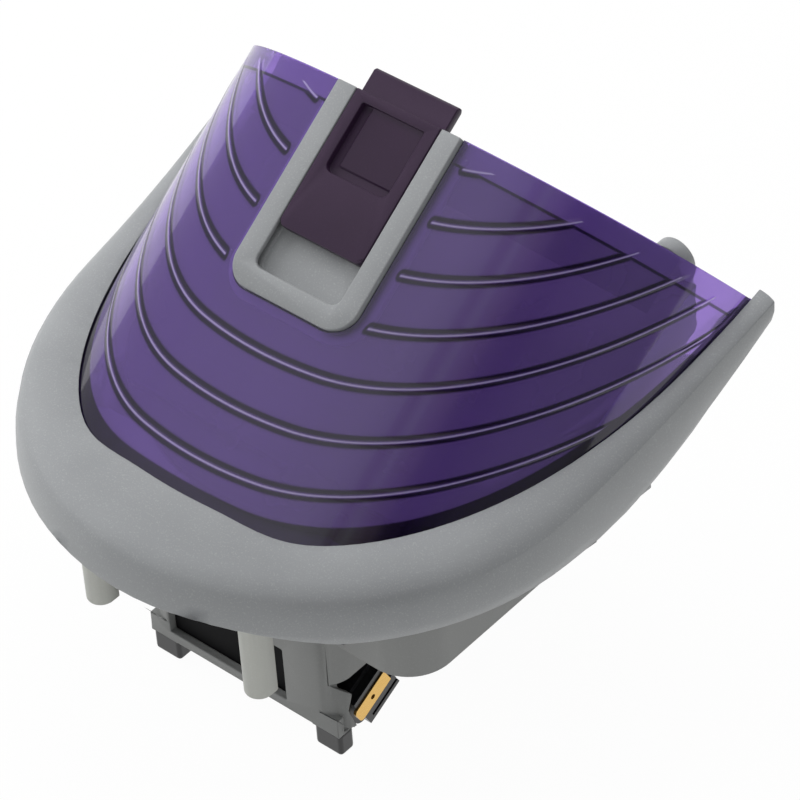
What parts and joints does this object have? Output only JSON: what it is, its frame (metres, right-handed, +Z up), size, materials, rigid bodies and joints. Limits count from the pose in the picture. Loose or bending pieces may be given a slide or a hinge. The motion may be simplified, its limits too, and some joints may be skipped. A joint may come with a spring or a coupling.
{
  "type": "vacuum cleaner motor unit",
  "caption": "Vacuum motor unit: vertical motor and fan in a grey housing under a tinted ribbed hood with a spring-loaded slide latch.",
  "frame": {"origin": "on the motor's axis, at the underside of the base plate", "axes": "+Z up along the motor's shaft, -Y to the front where the hood comes down to its tip, +X to the right seen from behind the front"},
  "size_m": [0.1596, 0.1426, 0.1417],
  "materials": {
    "purple_polycarbonate": "clear tinted, glossy",
    "silver_grey_abs": "satin with fine metallic flecks",
    "aubergine_abs": "satin, fine moulded grain",
    "mid_grey_plastic": "satin",
    "black_plastic": "satin",
    "rubber": "matt",
    "plated_steel": "zinc plated",
    "ground_steel": "ground",
    "spring_steel": "drawn wire",
    "cast_aluminium": "die cast",
    "sheet_aluminium": "pressed sheet",
    "lamination_steel": "stamped laminations",
    "enamelled_copper": "enamelled wire",
    "commutator_copper": "turned",
    "brass": "rolled",
    "carbon": "pressed carbon"
  },
  "bodies": {
    "unit": {"hood": "purple_polycarbonate", "latch_frame": "silver_grey_abs", "latch_spring": "spring_steel", "rim": "silver_grey_abs", "duct_cover": "black_plastic", "duct_floor": "black_plastic", "intake_seal": "rubber", "motor_housing": "mid_grey_plastic", "base_plate": "black_plastic", "mount_ring": "rubber", "fan_casing": "plated_steel", "fan_bracket": "cast_aluminium", "diffuser": "black_plastic", "upper_bearing": "ground_steel", "lower_bearing": "ground_steel", "field_core": "lamination_steel", "field_coils": "enamelled_copper", "motor_can": "plated_steel", "brush_bracket": "black_plastic", "brush_holder_front": "brass", "brush_holder_rear": "brass", "carbon_brush_front": "carbon", "carbon_brush_rear": "carbon", "brush_springs": "spring_steel", "terminal_carrier_right": "black_plastic", "terminal_carrier_left": "black_plastic", "blade_terminal_right": "brass", "blade_terminal_left": "brass", "housing_screws": "plated_steel", "can_screws": "plated_steel"},
    "slider": {"latch_slider": "aubergine_abs"},
    "rotor": {"shaft": "ground_steel", "armature_core": "lamination_steel", "armature_winding": "enamelled_copper", "commutator": "commutator_copper", "impeller": "sheet_aluminium", "impeller_nut": "plated_steel"}
  },
  "joints": [
    {"name": "latch_slide", "type": "slide", "parent": "unit", "child": "slider", "axis": [0, -0.8221, -0.5693], "range_m": [0, 0.01], "stiffness_N_per_m": 250, "springref_m": -0.006, "deforming": ["latch_spring"]},
    {"name": "rotor_spin", "type": "hinge", "parent": "unit", "child": "rotor", "pos_m": [0, 0, 0.03], "axis": [0, 0, 1], "continuous": true}
  ]
}
